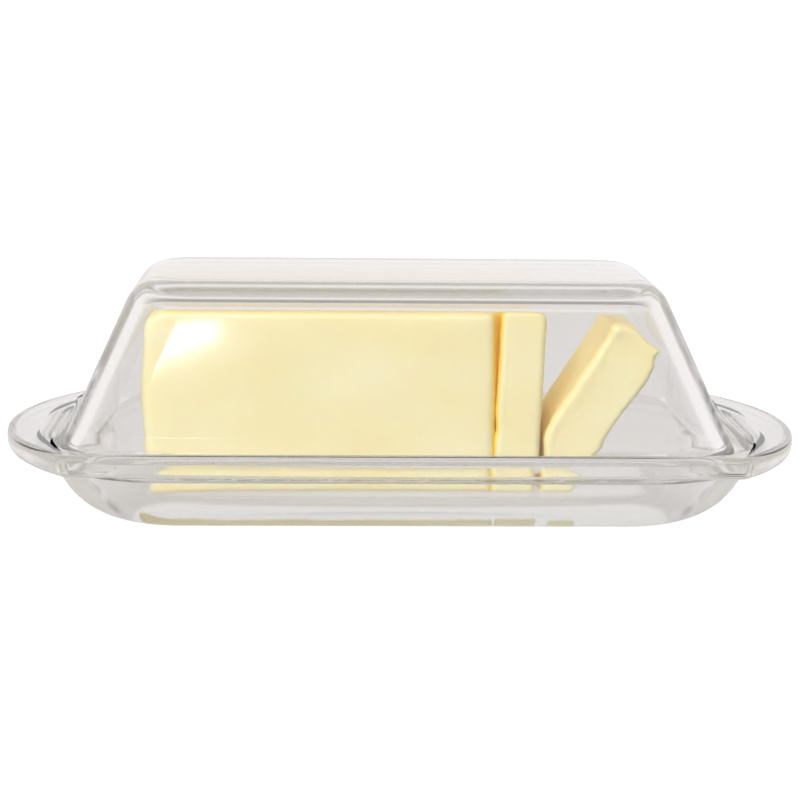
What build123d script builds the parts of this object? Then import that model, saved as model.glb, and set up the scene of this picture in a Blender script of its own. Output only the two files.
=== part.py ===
from build123d import *
import os

# Glass butter dish: a winged tray and a lift-off cover, with a block of butter and two cut
# slices inside. Millimetres. Origin at the centre of the foot's underside, +X along the
# dish and +Z up.

# Tray rim: a plate with straight sides and bowed ends that serve as handles
TRAY_LENGTH = 200.0
TRAY_WIDTH = 97.5
RIM_TOP = 22.0
RIM_THICKNESS = 5.5
RIM_UNDERSIDE = RIM_TOP - RIM_THICKNESS
WING_NOSE_RADIUS = 73.0
WING_CORNER_RADIUS = 5.0
RIM_TOP_ROUND = 1.6
RIM_UNDER_ROUND = 2.4

# Tray basin below the rim, as (length, width, corner radius)
BASIN_BOTTOM = (156.5, 74.0, 24.0)      # where its walls would meet the foot's plane
BASIN_TOP = (177.5, 88.5, 31.0)         # where they meet the rim's underside
BASIN_ROUND = 20.5
WING_ROOT_ROUND = 2.0

# Seat: the recess in the rim that takes the cover's foot
SEAT = (169.6, 90.4, 16.0)
SEAT_DEPTH = 2.5
SEAT_FLOOR = RIM_TOP - SEAT_DEPTH
EDGE_ROUND = 0.8

# Well: the hollow that holds the butter. Its long sides bulge, so it is widest half way along.
WELL_MOUTH = (149.0, 75.0, 18.0)
WELL_BOTTOM = (137.0, 66.0, 14.0)
WELL_BULGE = 10.0
WELL_FLOOR = 8.5
WELL_ROUND = 8.0

# Cover: a thick-walled frustum
COVER_TOP = 61.0
COVER_OUTER_BOTTOM = (165.8, 87.0, 14.5)
COVER_OUTER_TOP = (128.2, 60.4, 12.0)   # where its outer walls would meet its top plane
COVER_OUTER_ROUND = 9.0
COVER_INNER_TOP_Z = 55.4
COVER_INNER_BOTTOM = (155.2, 75.0, 9.5)
COVER_INNER_TOP = (123.0, 52.0, 8.0)    # where its inner walls would meet its ceiling
COVER_INNER_ROUND = 4.0
COVER_FOOT_ROUND = 1.2
COVER_SHIFT = -1.5                      # the cover lies loose in its seat, off centre

# Butter: outlines in the X-Z plane, as (x, z) points
BUTTER_FRONT, BUTTER_BACK = -21.0, 21.0
BUTTER_TOP = 52.9
BLOCK_LEFT = -63.6
BLOCK_RIGHT = 22.2
BLOCK_ROUND = 2.5
STANDING_SLICE = [
    (22.8, WELL_FLOOR),
    (33.2, WELL_FLOOR),
    (34.9, BUTTER_TOP),
    (24.6, BUTTER_TOP),
]
LEANING_SLICE_FRONT, LEANING_SLICE_BACK = -20.0, 9.0
LEANING_SLICE = [
    (35.4, WELL_FLOOR),
    (42.6, WELL_FLOOR),
    (47.0, 16.2),
    (53.0, 25.4),
    (59.6, 34.4),
    (62.2, 39.2),
    (62.2, 43.6),
    (57.2, 48.0),
    (52.4, 49.2),
    (37.4, 25.6),
    (35.4, 20.6),
]
SLICE_ROUND = 1.2


def rounded_plate(size, z):
    """Rounded rectangle (length, width, corner radius) in the plane at height z."""
    return Pos(0, 0, z) * RectangleRounded(*size)


def frustum(bottom, bottom_z, top, top_z):
    """Solid between two rounded rectangles, with straight walls."""
    return loft([rounded_plate(bottom, bottom_z), rounded_plate(top, top_z)], ruled=True)


def edges_at(solid, z):
    """Edges that lie in the horizontal plane at height z."""
    return solid.edges().filter_by_position(Axis.Z, z - 0.001, z + 0.001)


def rim_outline():
    """Plan of the rim: a rectangle whose two ends are each bowed by one large arc."""
    nose = Pos(TRAY_LENGTH / 2 - WING_NOSE_RADIUS, 0) * Circle(WING_NOSE_RADIUS)
    half = Pos(TRAY_LENGTH / 4, 0) * Rectangle(TRAY_LENGTH / 2, TRAY_WIDTH) & nose
    outline = half + mirror(half, about=Plane.YZ)
    corners = [v for v in outline.vertices() if abs(v.X) > TRAY_LENGTH / 4]
    return fillet(corners, WING_CORNER_RADIUS)


def make_rim():
    rim = extrude(Pos(0, 0, RIM_UNDERSIDE) * rim_outline(), RIM_THICKNESS)
    rim = fillet(edges_at(rim, RIM_TOP), RIM_TOP_ROUND)
    return fillet(edges_at(rim, RIM_UNDERSIDE), RIM_UNDER_ROUND)


def make_basin():
    basin = frustum(BASIN_BOTTOM, 0, BASIN_TOP, RIM_UNDERSIDE)
    return fillet(edges_at(basin, 0), BASIN_ROUND)


def well_outline(size):
    """Rounded rectangle (length, width, corner radius) whose long sides are bulging arcs."""
    length, width, corner = size
    radius = ((length / 2) ** 2 + WELL_BULGE ** 2) / (2 * WELL_BULGE)
    back = Pos(0, width / 2 - radius) * Circle(radius)
    outline = Rectangle(length, width) & back & mirror(back, about=Plane.XZ)
    return fillet(outline.vertices(), corner)


def make_well():
    bottom, mouth = well_outline(WELL_BOTTOM), well_outline(WELL_MOUTH)
    well = loft([Pos(0, 0, WELL_FLOOR) * bottom, Pos(0, 0, SEAT_FLOOR) * mouth], ruled=True)
    return fillet(edges_at(well, WELL_FLOOR), WELL_ROUND)


def make_tray():
    tray = make_rim() + make_basin()
    root = [e for e in edges_at(tray, RIM_UNDERSIDE) if abs(e.center().X) < BASIN_TOP[0] / 2 + 1]
    tray = fillet(root, WING_ROOT_ROUND)
    seat = extrude(rounded_plate(SEAT, SEAT_FLOOR), SEAT_DEPTH)
    tray = tray - seat - make_well()
    mouth = [e for e in edges_at(tray, SEAT_FLOOR) if abs(e.center().Y) < WELL_MOUTH[1] / 2 + 1
             and abs(e.center().X) < WELL_MOUTH[0] / 2 + 1]
    tray = fillet(mouth, EDGE_ROUND)
    lip = [e for e in edges_at(tray, RIM_TOP) if abs(e.center().Y) < SEAT[1] / 2 + 0.5
           and abs(e.center().X) < SEAT[0] / 2 + 0.5]
    return fillet(lip, EDGE_ROUND)


def make_cover():
    outside = frustum(COVER_OUTER_BOTTOM, SEAT_FLOOR, COVER_OUTER_TOP, COVER_TOP)
    outside = fillet(edges_at(outside, COVER_TOP), COVER_OUTER_ROUND)
    inside = frustum(COVER_INNER_BOTTOM, SEAT_FLOOR, COVER_INNER_TOP, COVER_INNER_TOP_Z)
    inside = fillet(edges_at(inside, COVER_INNER_TOP_Z), COVER_INNER_ROUND)
    cover = outside - inside
    cover = fillet(edges_at(cover, SEAT_FLOOR), COVER_FOOT_ROUND)
    return Pos(COVER_SHIFT, 0, 0) * cover


def butter_piece(outline, front, back, edge_round):
    """Upright prism of butter between two Y planes, with every edge rounded."""
    profile = Plane.XZ * make_face(Polyline(*outline, close=True))
    prism = extrude(profile, (back - front) / 2, both=True)
    return Pos(0, (front + back) / 2, 0) * fillet(prism.edges(), edge_round)


def make_block():
    outline = [
        (BLOCK_LEFT, WELL_FLOOR),
        (BLOCK_RIGHT, WELL_FLOOR),
        (BLOCK_RIGHT, BUTTER_TOP),
        (BLOCK_LEFT, BUTTER_TOP),
    ]
    return butter_piece(outline, BUTTER_FRONT, BUTTER_BACK, BLOCK_ROUND)


PARTS = {
    "tray": make_tray(),
    "cover": make_cover(),
    "butter_block": make_block(),
    "butter_slice_standing": butter_piece(
        STANDING_SLICE, BUTTER_FRONT, BUTTER_BACK, SLICE_ROUND
    ),
    "butter_slice_leaning": butter_piece(
        LEANING_SLICE, LEANING_SLICE_FRONT, LEANING_SLICE_BACK, SLICE_ROUND
    ),
}

os.makedirs("parts", exist_ok=True)
for name, solid in PARTS.items():
    export_step(solid, f"parts/{name}.step")
    print(name, round(solid.volume / 1000, 1), "cm3")
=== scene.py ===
import math

import bpy
from mathutils import Matrix, Vector, noise


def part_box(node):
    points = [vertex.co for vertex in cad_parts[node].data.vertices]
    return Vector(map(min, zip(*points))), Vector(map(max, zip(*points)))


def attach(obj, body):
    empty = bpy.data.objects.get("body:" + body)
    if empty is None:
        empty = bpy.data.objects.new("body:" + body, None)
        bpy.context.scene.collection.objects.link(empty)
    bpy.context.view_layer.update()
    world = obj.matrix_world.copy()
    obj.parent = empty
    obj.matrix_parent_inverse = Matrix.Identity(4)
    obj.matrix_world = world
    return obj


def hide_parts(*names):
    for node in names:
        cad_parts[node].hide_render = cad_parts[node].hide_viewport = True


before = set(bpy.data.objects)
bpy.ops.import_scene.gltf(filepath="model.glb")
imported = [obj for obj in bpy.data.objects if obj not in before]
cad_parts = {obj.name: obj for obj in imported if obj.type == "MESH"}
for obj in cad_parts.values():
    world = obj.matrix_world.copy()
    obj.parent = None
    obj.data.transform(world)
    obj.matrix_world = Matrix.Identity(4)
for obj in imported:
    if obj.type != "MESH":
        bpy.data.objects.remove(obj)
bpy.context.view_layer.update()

# Glass butter dish with a lift-off cover, a cut block of butter and two slices.
# Lengths below are in millimetres and become metres in new_mesh(). Heights and ends come from the
# frame where the frame has them, and the rest repeats the CAD model's sizes.
MM = 0.001
TRAY_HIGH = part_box("tray")[1] / MM
COVER_LOW, COVER_HIGH = [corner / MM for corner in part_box("cover")]
BLOCK_LOW, BLOCK_HIGH = [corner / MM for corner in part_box("butter_block")]
LEANING_LOW, LEANING_HIGH = [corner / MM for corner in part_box("butter_slice_leaning")]

# ---------------------------------------------------------------- meshes


def new_mesh(name, vertices, faces, material):
    """Object with these vertices, in millimetres, and smooth faces."""
    mesh = bpy.data.meshes.new(name)
    mesh.from_pydata([Vector(v) * MM for v in vertices], [], faces)
    mesh.validate()
    mesh.polygons.foreach_set("use_smooth", [True] * len(mesh.polygons))
    mesh.materials.append(material)
    piece = bpy.data.objects.new(name, mesh)
    bpy.context.scene.collection.objects.link(piece)
    return piece


# Segments of one ring: half an end, one corner, half a side
END_STEPS, CORNER_STEPS, SIDE_STEPS = 16, 12, 30
# Width of the strip that separates a flat from the round beside it
FLAT_MARGIN = 0.5


def ring(half_x, half_y, corner, z_end, z_side=None, nose=None, shift=0.0, bow=0.0):
    """Closed ring round a rounded rectangle, whose ends may be bowed by arcs of radius nose.
    Its height is z_end at the ends and z_side along the sides, and its sides come in by bow."""
    z_side = z_end if z_side is None else z_side
    side_y = half_y - corner
    if nose is None:
        corner_x, start = half_x - corner, 0.0
        end = [(half_x, side_y * i / END_STEPS, 0.0) for i in range(END_STEPS)]
    else:
        nose_x = half_x - nose
        corner_x = nose_x + math.sqrt((nose - corner) ** 2 - side_y ** 2)
        start = math.atan2(side_y, corner_x - nose_x)
        turns = [start * i / END_STEPS for i in range(END_STEPS)]
        end = [(nose_x + nose * math.cos(t), nose * math.sin(t), t) for t in turns]
    turns = [start + (math.pi / 2 - start) * i / CORNER_STEPS for i in range(CORNER_STEPS)]
    bend = [(corner_x + corner * math.cos(t), side_y + corner * math.sin(t), t) for t in turns]
    side = [(corner_x * (1 - i / SIDE_STEPS), half_y, math.pi / 2) for i in range(SIDE_STEPS)]
    quarter = []
    for x, y, turn in end + bend + side:
        blend = math.sin(turn) ** 2
        quarter.append((x, y, z_end + (z_side - z_end) * blend))
    middle = (0.0, half_y, z_side)
    right_back = quarter + [middle]
    left_back = [(-x, y, z) for x, y, z in reversed(quarter)]
    back = right_back + left_back
    front = [(x, -y, z) for x, y, z in reversed(back[1:-1])]
    waist = bow / half_y / half_x ** 2
    return [(x + shift, y * (1 - waist * x * x), z) for x, y, z in back + front]


def skin(rings):
    """Vertices and quads between rings in a row, with the first and last ring closed flat."""
    count = len(rings[0])
    vertices = [v for r in rings for v in r]
    faces = [list(range(count))[::-1]]
    for k in range(len(rings) - 1):
        low, high = k * count, (k + 1) * count
        for i in range(count):
            j = (i + 1) % count
            faces.append((low + i, low + j, high + j, high + i))
    faces.append([(len(rings) - 1) * count + i for i in range(count)])
    return vertices, faces


def mix(a, b, t):
    return tuple(p + (q - p) * t for p, q in zip(a, b))


def frustum_rings(sharp, sharp_z, far, far_z, radius, wall_steps, round_steps, shift=0.0, bow=0.0):
    """Rings from the flat at sharp_z, round its edge of this radius and along the wall to far_z.
    sharp and far are (half length, half width, corner radius) of the unrounded walls."""
    height = abs(far_z - sharp_z)
    sign = 1 if far_z > sharp_z else -1
    slopes = [math.atan2(far[k] - sharp[k], height) for k in (0, 1)]

    def point(k, turn):
        """Half size and height on side k of the edge's round, from the flat (0) to the wall (1)."""
        angle = math.pi / 2 + (slopes[k] - math.pi / 2) * turn
        centre = sharp[k] + radius * math.tan(slopes[k]) - radius / math.cos(slopes[k])
        return centre + radius * math.cos(angle), radius * (1 - math.sin(angle))

    def wall(k, depth):
        return sharp[k] + depth * math.tan(slopes[k])

    # a ring inside the flat keeps its normals upright
    (x, _), (y, _) = point(0, 0), point(1, 0)
    inset = (sharp[0] - x + sharp[1] - y) / 2 + FLAT_MARGIN
    rings = [ring(x - FLAT_MARGIN, y - FLAT_MARGIN, max(sharp[2] - inset, 0.5), sharp_z,
                  shift=shift, bow=bow)]
    for i in range(round_steps + 1):
        (x, x_depth), (y, y_depth) = point(0, i / round_steps), point(1, i / round_steps)
        inset = (wall(0, x_depth) - x + wall(1, y_depth) - y) / 2
        depth = (x_depth + y_depth) / 2
        corner = sharp[2] + (far[2] - sharp[2]) * depth / height - inset
        rings.append(ring(x, y, corner, sharp_z + sign * x_depth, sharp_z + sign * y_depth,
                          shift=shift, bow=bow))
    (x, x_depth), (y, y_depth) = point(0, 1), point(1, 1)
    start = (x, y, sharp[2] + (far[2] - sharp[2]) * (x_depth + y_depth) / 2 / height)
    for i in range(1, wall_steps + 1):
        t = i / wall_steps
        size = mix(start, far, t)
        z_end = sharp_z + sign * (x_depth + (height - x_depth) * t)
        z_side = sharp_z + sign * (y_depth + (height - y_depth) * t)
        rings.append(ring(*size, z_end, z_side, shift=shift, bow=bow))
    return rings


# ---------------------------------------------------------------- glass

# Tray: sizes as (half length, half width, corner radius)
RIM = (100.0, 48.75, 5.0)
NOSE_RADIUS = 73.0
WING_ROOT_ROUND = 2.0
RIM_THICKNESS = 5.5
RIM_TOP_ROUND, RIM_UNDER_ROUND = 1.6, 2.4
BASIN_BOTTOM, BASIN_TOP, BASIN_ROUND = (78.25, 37.0, 24.0), (88.75, 44.25, 31.0), 20.5
SEAT, SEAT_DEPTH, SEAT_BEVEL = (84.8, 45.2, 16.0), 2.5, 0.15
WELL_BOTTOM, WELL_MOUTH, WELL_ROUND = (68.5, 33.0, 14.0), (74.5, 37.5, 18.0), 8.0
WELL_FLOOR = 8.5
WELL_BULGE = 10.0
EDGE_ROUND = 0.8
# The round at the well's mouth is this much lower than wide, and the wall below it starts at
# this share of the well's depth
WELL_LIP_FLATNESS = 0.7
WELL_WALL_SHARE = 0.93

# Cover
COVER_OUTER_BOTTOM, COVER_OUTER_TOP = (82.9, 43.5, 14.5), (64.1, 30.2, 12.0)
COVER_INNER_BOTTOM, COVER_INNER_TOP = (77.6, 37.5, 9.5), (61.5, 26.0, 8.0)
COVER_OUTER_ROUND, COVER_INNER_ROUND = 9.0, 4.0
COVER_CEILING = 5.6
COVER_FOOT_ROUND = 1.2


def rim_ring(inset, z):
    half_x, half_y, corner = RIM
    return ring(half_x - inset, half_y - inset, max(corner - inset, 0.8), z, nose=NOSE_RADIUS - inset)


def tray_rings():
    top = TRAY_HIGH.z
    under = top - RIM_THICKNESS
    rings = frustum_rings(BASIN_BOTTOM, 0.0, BASIN_TOP, under, BASIN_ROUND, 8, 14)[:-1]
    # a small hollow round where the basin's wall meets the rim's underside
    low = mix(BASIN_TOP, BASIN_BOTTOM, WING_ROOT_ROUND / under)
    wide = tuple(v + WING_ROOT_ROUND for v in BASIN_TOP)
    steps = 5
    for i in range(steps + 1):
        t = i / steps
        size = mix(mix(low, BASIN_TOP, t), mix(BASIN_TOP, wide, t), t)
        rings.append(ring(*size, under - WING_ROOT_ROUND * (1 - t) ** 2))
    rings.append(ring(*(v + FLAT_MARGIN for v in wide), under))
    # out along the rim's underside, round its edge and back over its top
    rings.append(rim_ring(RIM_UNDER_ROUND + FLAT_MARGIN, under))
    steps = 6
    for i in range(steps + 1):
        turn = math.pi / 2 * i / steps
        rings.append(rim_ring(RIM_UNDER_ROUND * (1 - math.sin(turn)),
                              under + RIM_UNDER_ROUND * (1 - math.cos(turn))))
    for i in range(steps + 1):
        turn = math.pi / 2 * i / steps
        rings.append(rim_ring(RIM_TOP_ROUND * (1 - math.cos(turn)),
                              top - RIM_TOP_ROUND * (1 - math.sin(turn))))
    rings.append(rim_ring(RIM_TOP_ROUND + FLAT_MARGIN, top))
    # seat: a small round at its lip, its wall and its floor
    half_x, half_y, corner = SEAT
    steps = 4
    out = EDGE_ROUND + FLAT_MARGIN
    rings.append(ring(half_x + out, half_y + out, corner + out, top))
    for i in range(steps + 1):
        turn = math.pi / 2 * i / steps
        out = EDGE_ROUND * (1 - math.sin(turn))
        rings.append(ring(half_x + out, half_y + out, corner + out,
                          top - EDGE_ROUND * (1 - math.cos(turn))))
    seat_floor = top - SEAT_DEPTH
    rings.append(ring(half_x, half_y, corner, seat_floor + SEAT_BEVEL))
    for inset in (SEAT_BEVEL, FLAT_MARGIN):
        rings.append(ring(half_x - inset, half_y - inset, corner - inset, seat_floor))
    # well: a small round at its mouth, then its wall, its round and its floor
    half_x, half_y, corner = WELL_MOUTH
    out = EDGE_ROUND + FLAT_MARGIN
    rings.append(ring(half_x + out, half_y + out, corner + out, seat_floor, bow=WELL_BULGE))
    for i in range(steps):
        turn = math.pi / 2 * i / steps
        out = EDGE_ROUND * (1 - math.sin(turn))
        drop = WELL_LIP_FLATNESS * EDGE_ROUND * (1 - math.cos(turn))
        rings.append(ring(half_x + out, half_y + out, corner + out, seat_floor - drop, bow=WELL_BULGE))
    wall_top = mix(WELL_BOTTOM, WELL_MOUTH, WELL_WALL_SHARE)
    wall_top_z = WELL_FLOOR + WELL_WALL_SHARE * (seat_floor - WELL_FLOOR)
    rings += frustum_rings(WELL_BOTTOM, WELL_FLOOR, wall_top, wall_top_z, WELL_ROUND, 5, 10,
                           bow=WELL_BULGE)[::-1]
    return rings


def cover_rings():
    shift = (COVER_LOW.x + COVER_HIGH.x) / 2
    foot, top = COVER_LOW.z, COVER_HIGH.z
    outer = frustum_rings(COVER_OUTER_TOP, top, COVER_OUTER_BOTTOM, foot,
                          COVER_OUTER_ROUND, 14, 12, shift)
    inner = frustum_rings(COVER_INNER_TOP, top - COVER_CEILING, COVER_INNER_BOTTOM, foot,
                          COVER_INNER_ROUND, 14, 10, shift)
    # the foot's two rounded edges stand in for the last ring of each wall
    height = top - foot
    steps = 5
    foot_rings = []
    outer_slope = [(b - t) / height for b, t in zip(COVER_OUTER_BOTTOM, COVER_OUTER_TOP)]
    for i in range(steps + 1):
        turn = math.pi / 2 * i / steps
        rise = COVER_FOOT_ROUND * (1 - math.sin(turn))
        inset = COVER_FOOT_ROUND * (1 - math.cos(turn))
        size = [b - s * rise - inset for b, s in zip(COVER_OUTER_BOTTOM, outer_slope)]
        foot_rings.append(ring(*size, foot + rise, shift=shift))
    for i in range(steps + 1):
        turn = math.pi / 2 * i / steps
        rise = COVER_FOOT_ROUND * (1 - math.cos(turn))
        inset = COVER_FOOT_ROUND * (1 - math.sin(turn))
        size = [b + inset for b in COVER_INNER_BOTTOM]
        foot_rings.append(ring(*size, foot + rise, shift=shift))
    return (outer[:-1] + foot_rings + inner[:-1][::-1])[::-1]


# ---------------------------------------------------------------- butter


# Segments of one rounded corner, of a rounded edge, and from the middle of an end to that edge
ARC_STEPS, EDGE_STEPS, CAP_STEPS = 6, 6, 20


def rounded_outline(corners, radii, inset=0.0, spacing=0.9):
    """Dense closed outline (x, z) of a counter-clockwise polygon moved inwards, with round corners.
    It has the same number of points at every inset."""
    count = len(corners)
    corners = [Vector(corner) for corner in corners]
    moved, hollow = [], []
    for i in range(count):
        into = (corners[i] - corners[i - 1]).normalized()
        out = (corners[(i + 1) % count] - corners[i]).normalized()
        half_turn = into.angle(out) / 2
        hollow.append(into.x * out.y < into.y * out.x)
        inward = (Vector((-into.y, into.x)) + Vector((-out.y, out.x))).normalized()
        moved.append(corners[i] + inward * inset / math.cos(half_turn))
    arcs = []
    for i in range(count):
        here = moved[i]
        before, after = (moved[i - 1] - here).normalized(), (moved[(i + 1) % count] - here).normalized()
        half_angle = before.angle(after) / 2
        radius = radii[i] + inset if hollow[i] else max(radii[i] - inset, 0.15)
        centre = here + (before + after).normalized() * (radius / math.sin(half_angle))
        first = here + before * radius / math.tan(half_angle) - centre
        sweep = (math.pi - 2 * half_angle) * (-1 if hollow[i] else 1)
        arc = []
        for k in range(ARC_STEPS + 1):
            cos, sin = math.cos(sweep * k / ARC_STEPS), math.sin(sweep * k / ARC_STEPS)
            arc.append(centre + Vector((first.x * cos - first.y * sin, first.x * sin + first.y * cos)))
        arcs.append(arc)
    outline = []
    for i, arc in enumerate(arcs):
        steps = max(2, round((corners[(i + 1) % count] - corners[i]).length / spacing))
        after = arcs[(i + 1) % count][0]
        outline += arc + [arc[-1].lerp(after, k / steps) for k in range(1, steps)]
    return outline


def butter_solid(name, corners, radii, front, back, edge, material, spacing=0.9):
    """Closed prism between two Y planes on a counter-clockwise outline, with rounded edges."""
    face = rounded_outline(corners, radii, edge, spacing)
    middle = sum(face, Vector((0, 0))) / len(face)
    half = []
    for k in range(1, CAP_STEPS):
        half.append(([middle.lerp(p, k / CAP_STEPS) for p in face], 0.0))
    for k in range(EDGE_STEPS + 1):
        turn = math.pi / 2 * k / EDGE_STEPS
        half.append((rounded_outline(corners, radii, edge * (1 - math.sin(turn)), spacing),
                     edge * (1 - math.cos(turn))))
    outline = half[-1][0]
    length = back - front - 2 * edge
    side_steps = round(length / spacing)
    levels = [(points, front + depth) for points, depth in half]
    levels += [(outline, front + edge + length * k / side_steps) for k in range(1, side_steps)]
    levels += [(points, back - depth) for points, depth in reversed(half)]
    rings = [[(p.x, y, p.y) for p in points] for points, y in levels]
    vertices, faces = skin(rings)
    return new_mesh(name, vertices, faces, material)


def roughen(piece, dents):
    """Push each vertex inwards by dents(place in mm, normal), also in mm."""
    mesh = piece.data
    normals = [Vector(v.normal) for v in mesh.vertices]
    for vertex, normal in zip(mesh.vertices, normals):
        vertex.co -= normal * dents(vertex.co / MM, normal) * MM
    mesh.update()


def softness(place, scale, seed):
    """Smooth noise from 0 to 1."""
    return 0.5 + 0.5 * noise.noise(place / scale + Vector((seed, 0, 0)))


# ---------------------------------------------------------------- materials


def node_material(name):
    material = bpy.data.materials.new(name)
    material.use_nodes = True
    nodes, links = material.node_tree.nodes, material.node_tree.links
    return material, nodes, links, nodes["Principled BSDF"]


def colour_ramp(nodes, stops):
    ramp = nodes.new("ShaderNodeValToRGB")
    elements = ramp.color_ramp.elements
    while len(elements) < len(stops):
        elements.new(0.5)
    for element, (position, colour) in zip(elements, stops):
        element.position = position
        element.color = (*colour, 1)
    return ramp


def noise_node(nodes, links, scale, detail=2.0, stretch=(1, 1, 1)):
    """Noise fixed to the object, scale in waves per metre."""
    place = nodes.new("ShaderNodeTexCoord")
    mapping = nodes.new("ShaderNodeMapping")
    mapping.inputs["Scale"].default_value = stretch
    texture = nodes.new("ShaderNodeTexNoise")
    texture.inputs["Scale"].default_value = scale
    texture.inputs["Detail"].default_value = detail
    links.new(place.outputs["Object"], mapping.inputs["Vector"])
    links.new(mapping.outputs["Vector"], texture.inputs["Vector"])
    return texture


def glass_material(name, roughness):
    """Clear pressed glass, with a faint tint and slow waves in its surface."""
    material, nodes, links, shader = node_material(name)
    tint = noise_node(nodes, links, 18)
    ramp = colour_ramp(nodes, [(0.3, (0.955, 0.945, 0.94)), (0.7, (0.97, 0.96, 0.965))])
    links.new(tint.outputs["Fac"], ramp.inputs["Fac"])
    links.new(ramp.outputs["Color"], shader.inputs["Base Color"])
    shader.inputs["Roughness"].default_value = roughness
    shader.inputs["IOR"].default_value = 1.5
    shader.inputs["Transmission Weight"].default_value = 1.0
    waves = noise_node(nodes, links, 14, 0.0)
    bump = nodes.new("ShaderNodeBump")
    bump.inputs["Strength"].default_value = 0.1
    bump.inputs["Distance"].default_value = 0.0004
    links.new(waves.outputs["Fac"], bump.inputs["Height"])
    links.new(bump.outputs["Normal"], shader.inputs["Normal"])
    return material


def facing(nodes, links, axis, low, high):
    """0 to 1 as the surface turns to look along this axis, from one threshold to the other."""
    geometry = nodes.new("ShaderNodeNewGeometry")
    turned_to = nodes.new("ShaderNodeVectorMath")
    turned_to.operation = "DOT_PRODUCT"
    turned_to.inputs[1].default_value = axis
    links.new(geometry.outputs["Normal"], turned_to.inputs[0])
    ramp = nodes.new("ShaderNodeMapRange")
    ramp.interpolation_type = "SMOOTHSTEP"
    ramp.inputs["From Min"].default_value = low
    ramp.inputs["From Max"].default_value = high
    links.new(turned_to.outputs["Value"], ramp.inputs["Value"])
    return ramp.outputs["Result"]


def mixed(nodes, links, factor, first, colour):
    """first where factor is 0, and this colour where it is 1."""
    mixer = nodes.new("ShaderNodeMix")
    mixer.data_type = "RGBA"
    links.new(factor, mixer.inputs["Factor"])
    links.new(first, mixer.inputs["A"])
    mixer.inputs["B"].default_value = (*colour, 1)
    return mixer.outputs["Result"]


# deeper golden painted on the upward faces: painted shade along the butter's top
PAINTED_TOP_SHADE = (0.86, 0.70, 0.34)


def butter_material(name, shade_side, gap_shade_colour):
    """Pale butter with painted shade: a deeper golden on its upward faces, and a deep painted shade of
    the gap beside a neighbouring piece on the face that looks along the given side.
    """
    material, nodes, links, shader = node_material(name)
    cloud = noise_node(nodes, links, 55, 3.0, (0.6, 1, 1))
    body = colour_ramp(nodes, [(0.30, (0.935, 0.83, 0.46)), (0.55, (0.95, 0.86, 0.52)),
                               (0.75, (0.965, 0.89, 0.60))])
    links.new(cloud.outputs["Fac"], body.inputs["Fac"])
    # upward faces take the painted top shade
    upwards = facing(nodes, links, (0, 0, 1), 0.25, 0.8)
    top_shaded = mixed(nodes, links, upwards, body.outputs["Color"], PAINTED_TOP_SHADE)
    # the face towards the neighbouring piece takes a painted shade of the gap between them
    gap_shaded = mixed(nodes, links, facing(nodes, links, shade_side, 0.45, 0.9), top_shaded, gap_shade_colour)
    links.new(gap_shaded, shader.inputs["Base Color"])
    shader.inputs["Roughness"].default_value = 0.42
    shader.inputs["IOR"].default_value = 1.45
    shader.inputs["Subsurface Weight"].default_value = 0.4
    shader.inputs["Subsurface Radius"].default_value = (1.0, 0.65, 0.25)
    shader.inputs["Subsurface Scale"].default_value = 0.004
    smear = noise_node(nodes, links, 130, 4.0, (0.4, 1, 1.6))
    bump = nodes.new("ShaderNodeBump")
    bump.inputs["Strength"].default_value = 0.3
    bump.inputs["Distance"].default_value = 0.0005
    links.new(smear.outputs["Fac"], bump.inputs["Height"])
    links.new(bump.outputs["Normal"], shader.inputs["Normal"])
    return material


# ---------------------------------------------------------------- pieces

LEFT, RIGHT = (-1, 0, 0), (1, 0, 0)
FLOOR, TOP = BLOCK_LOW.z, BLOCK_HIGH.z
FRONT, BACK = BLOCK_LOW.y, BLOCK_HIGH.y

# Outlines in the X-Z plane, counter-clockwise, with the radius of each corner
BLOCK_OUTLINE = [
    (BLOCK_LOW.x, FLOOR), (BLOCK_HIGH.x, FLOOR), (BLOCK_HIGH.x, TOP), (BLOCK_LOW.x, TOP),
]
BLOCK_RADII = [2.0, 1.2, 2.6, 5.5]
SLICE_LEFT, SLICE_LEAN = 22.8, 1.8      # the standing slice's left side, and its lean to the top
STANDING_OUTLINE = [
    (SLICE_LEFT, FLOOR), (33.2, FLOOR), (34.9, TOP), (SLICE_LEFT + SLICE_LEAN, TOP),
]
STANDING_RADII = [1.0, 1.0, 2.8, 1.8]
LEANING_OUTLINE = [
    (35.4, FLOOR), (42.6, FLOOR), (47.0, 16.2), (53.0, 25.4), (59.6, 34.4), (62.2, 39.2),
    (62.2, 43.6), (57.2, 48.0), (52.4, 49.2), (37.4, 25.6), (35.4, 20.6),
]
LEANING_RADII = [1.2, 1.2, 2.0, 2.0, 2.0, 1.4, 1.4, 1.4, 1.8, 1.8, 1.2]


def bell(value, centre, width):
    """1 at the centre, falling off smoothly to both sides."""
    return math.exp(-((value - centre) / width) ** 2)


block = butter_solid(
    "butter_block_soft", BLOCK_OUTLINE, BLOCK_RADII, FRONT, BACK, 2.4,
    # painted shade: deep orange on the right end, in the gap beside the standing slice
    butter_material("butter_block", RIGHT, (0.99, 0.72, 0.08)),
)
# its left end bulges a little half way up
BULGE, BULGE_LENGTH = 0.9, 20.0
for vertex in block.data.vertices:
    x, y, z = vertex.co / MM
    reach = min(max((BLOCK_LOW.x + BULGE_LENGTH - x) / BULGE_LENGTH, 0), 1)
    vertex.co.x -= BULGE * reach * bell(z, 33, 12) * MM
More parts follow.
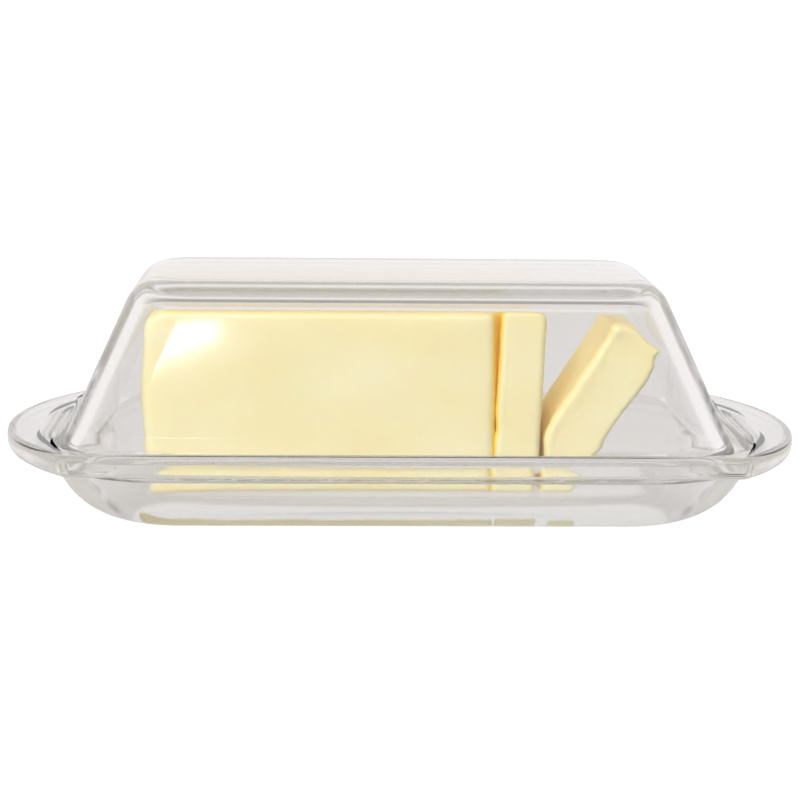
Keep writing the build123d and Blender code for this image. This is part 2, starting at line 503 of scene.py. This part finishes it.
# the cut gapes at the front, and behind that the block's end lies along the standing slice
CUT_GAP, CUT_GAPE = 0.15, 2.1
for vertex in block.data.vertices:
    x, y, z = vertex.co / MM
    if x > BLOCK_HIGH.x - 3:
        height = (z - FLOOR) / (TOP - FLOOR)
        depth = min(max((y - FRONT - 2.0) / 4.0, 0.0), 1.0)
        opening = CUT_GAP + (CUT_GAPE * height) * (1 - depth * depth * (3 - 2 * depth))
        edge_x = SLICE_LEFT + SLICE_LEAN * height - opening
        vertex.co.x += (edge_x - BLOCK_HIGH.x) * MM
roughen(block, lambda p, n: 0.35 * softness(p, 14, 3) + 0.12 * softness(p, 3.5, 9))

standing = butter_solid(
    "butter_slice_standing_soft", STANDING_OUTLINE, STANDING_RADII, FRONT, BACK, 1.4,
    # painted shade: deep orange on the left side, in the gap beside the block
    butter_material("standing_slice", LEFT, (0.99, 0.76, 0.12)), 0.7,
)


def torn_right_edge(place, normal):
    """Shallow dents, and on the right side a ledge that sticks out above the rim."""
    ledge = 0.5 - 0.5 * bell(place.z, 23.5, 2.2)
    ragged = 0.5 * softness(place, 1.8, 40) * bell(place.z, 25, 6)
    dents = 0.25 * softness(place, 12, 21) + 0.15 * softness(place, 3, 5)
    return dents + max(normal.x, 0) * (ledge + ragged)


roughen(standing, torn_right_edge)

leaning = butter_solid(
    "butter_slice_leaning_soft", LEANING_OUTLINE, LEANING_RADII, LEANING_LOW.y, LEANING_HIGH.y, 1.2,
    # painted shade: darker yellow on the left side, which faces the standing slice
    butter_material("leaning_slice", LEFT, (0.96, 0.80, 0.38)), 0.7,
)


def torn_left_edge(place, normal):
    """Ragged dents along the leaning slice's front left edge and its top."""
    beside = abs((place.x - 37.4) * 0.844 - (place.z - 25.6) * 0.537)
    edge = bell(beside, 0, 2.6) * bell(place.y, LEANING_LOW.y, 5)
    above = bell(place.z, LEANING_HIGH.z, 2.5)
    ragged = softness(place, 3.5, 11) * (0.8 * edge + 1.1 * above)
    return 0.3 * softness(place, 10, 31) + 0.12 * softness(place, 2.5, 7) + ragged


roughen(leaning, torn_left_edge)
# a small flap of butter hangs on at its top right corner
FLAP_REACH, FLAP_HEIGHT = 1.5, 43.0
for vertex in leaning.data.vertices:
    x, y, z = vertex.co / MM
    if x > 59.0:
        flap = bell(z, FLAP_HEIGHT, 1.1) * bell(y, LEANING_LOW.y + 3, 5)
        vertex.co.x += FLAP_REACH * flap * MM

tray = new_mesh("tray_glass", *skin(tray_rings()), glass_material("tray_glass", 0.12))
cover = new_mesh("cover_glass", *skin(cover_rings()), glass_material("cover_glass", 0.06))

for piece, node, body, slot in (
    (tray, "tray", "tray", "tray_glass"),
    (cover, "cover", "cover", "cover_glass"),
    (block, "butter_block", "tray", "butter"),
    (standing, "butter_slice_standing", "tray", "butter"),
    (leaning, "butter_slice_leaning", "tray", "butter"),
):
    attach(piece, body)
    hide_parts(node)

# ---------------------------------------------------------------- stage, light and camera

floor_mesh = bpy.data.meshes.new("floor")
floor_mesh.from_pydata([(-40, -40, 0), (40, -40, 0), (40, 40, 0), (-40, 40, 0)], [], [(0, 1, 2, 3)])
floor = bpy.data.objects.new("floor", floor_mesh)
bpy.context.scene.collection.objects.link(floor)
floor_mat, nodes, links, shader = node_material("floor")
shader.inputs["Base Color"].default_value = (0.45, 0.45, 0.45, 1)
shader.inputs["Roughness"].default_value = 0.9
shader.inputs["Emission Color"].default_value = (1.0, 0.985, 0.96, 1)
# the paper is burnt out to white where it is seen directly, and paler than that through the glass
seen_directly = nodes.new("ShaderNodeLightPath").outputs["Is Camera Ray"]
glow = nodes.new("ShaderNodeMapRange")
glow.inputs["To Min"].default_value = 0.48
glow.inputs["To Max"].default_value = 0.95
links.new(seen_directly, glow.inputs["Value"])
links.new(glow.outputs["Result"], shader.inputs["Emission Strength"])
floor_mesh.materials.append(floor_mat)

world = bpy.data.worlds.new("world")
bpy.context.scene.world = world
world.use_nodes = True
nodes, links = world.node_tree.nodes, world.node_tree.links
sky = nodes["Background"]
direction = nodes.new("ShaderNodeTexCoord")
split = nodes.new("ShaderNodeSeparateXYZ")
links.new(direction.outputs["Generated"], split.inputs["Vector"])


def smooth_step(value, low, high, from_value, to_value):
    step = nodes.new("ShaderNodeMapRange")
    step.interpolation_type = "SMOOTHSTEP"
    numbers = {"From Min": low, "From Max": high, "To Min": from_value, "To Max": to_value}
    for socket, number in numbers.items():
        step.inputs[socket].default_value = number
    links.new(value, step.inputs["Value"])
    return step.outputs["Result"]


def combine(operation, a, b):
    node = nodes.new("ShaderNodeMath")
    node.operation = operation
    for socket, value in zip(node.inputs, (a, b)):
        if isinstance(value, (int, float)):
            socket.default_value = value
        else:
            links.new(value, socket)
    return node.outputs[0]


# bright behind, dim low in front, and a broad soft light high in front
behind = smooth_step(split.outputs["Y"], -0.35, 0.1, 0.60, 0.95)
overhead = smooth_step(split.outputs["Z"], 0.45, 0.9, 1.0, 0.40)
high = smooth_step(split.outputs["Z"], 0.5, 0.75, 0.0, 1.0)
front = smooth_step(split.outputs["Y"], -0.35, 0.05, 1.0, 0.0)
above = combine("MULTIPLY", combine("MULTIPLY", high, front), 0.5)
seen_directly = nodes.new("ShaderNodeLightPath").outputs["Is Camera Ray"]
around = combine("ADD", combine("MULTIPLY", behind, overhead), above)
strength = combine("MAXIMUM", around, combine("MULTIPLY", seen_directly, 1.05))
links.new(strength, sky.inputs["Strength"])
sky.inputs["Color"].default_value = (1.0, 0.978, 0.97, 1)


def softbox(name, place, size, power, turn=0.0):
    """Rectangular area light that faces the dish, turned about its axis by this many degrees."""
    light = bpy.data.objects.new(name, bpy.data.lights.new(name, "AREA"))
    light.data.shape = "RECTANGLE"
    light.data.size, light.data.size_y = size
    light.data.energy = power
    aim = (Vector((0, 0, 0.03)) - Vector(place)).to_track_quat("-Z", "Y").to_matrix().to_4x4()
    light.matrix_world = Matrix.Translation(place) @ aim @ Matrix.Rotation(math.radians(turn), 4, "Z")
    bpy.context.scene.collection.objects.link(light)
    return light


# the key and fill lights reach the butter alone, so the glass keeps its even grey
key = softbox("key", (-0.45, -1.0, 0.75), (0.9, 0.9), 16.5)
fill = softbox("fill", (0.8, 0.9, 0.5), (0.9, 0.9), 7)
lit = bpy.data.collections.new("butter_pieces")
for piece in (block, standing, leaning):
    lit.objects.link(piece)
for light in (key, fill):
    light.light_linking.receiver_collection = lit
    light.light_linking.blocker_collection = lit
# a small lamp in front makes the glint on the cover
softbox("glint", (-0.125, -0.929, 0.500), (0.066, 0.016), 0.05, 24)

CAMERA_DISTANCE, CAMERA_HEIGHT = 0.550, 0.1259
CAMERA_YAW, CAMERA_PITCH, CAMERA_ROLL = math.radians(-2.07), math.radians(10.185), math.radians(0.62)
camera = bpy.data.objects.new("camera", bpy.data.cameras.new("camera"))
bpy.context.scene.collection.objects.link(camera)
camera.data.lens = 97.8
turned = Matrix.Rotation(CAMERA_YAW, 4, "Z")
camera.matrix_world = (
    turned
    @ Matrix.Translation((-0.0002, -CAMERA_DISTANCE, CAMERA_HEIGHT))
    @ Matrix.Rotation(math.pi / 2 - CAMERA_PITCH, 4, "X")
    @ Matrix.Rotation(CAMERA_ROLL, 4, "Z")
)
bpy.context.scene.camera = camera
bpy.context.scene.view_settings.view_transform = "Standard"
cycles = bpy.context.scene.cycles
cycles.max_bounces = 40
cycles.transmission_bounces = 40
cycles.glossy_bounces = 24
cycles.diffuse_bounces = 8
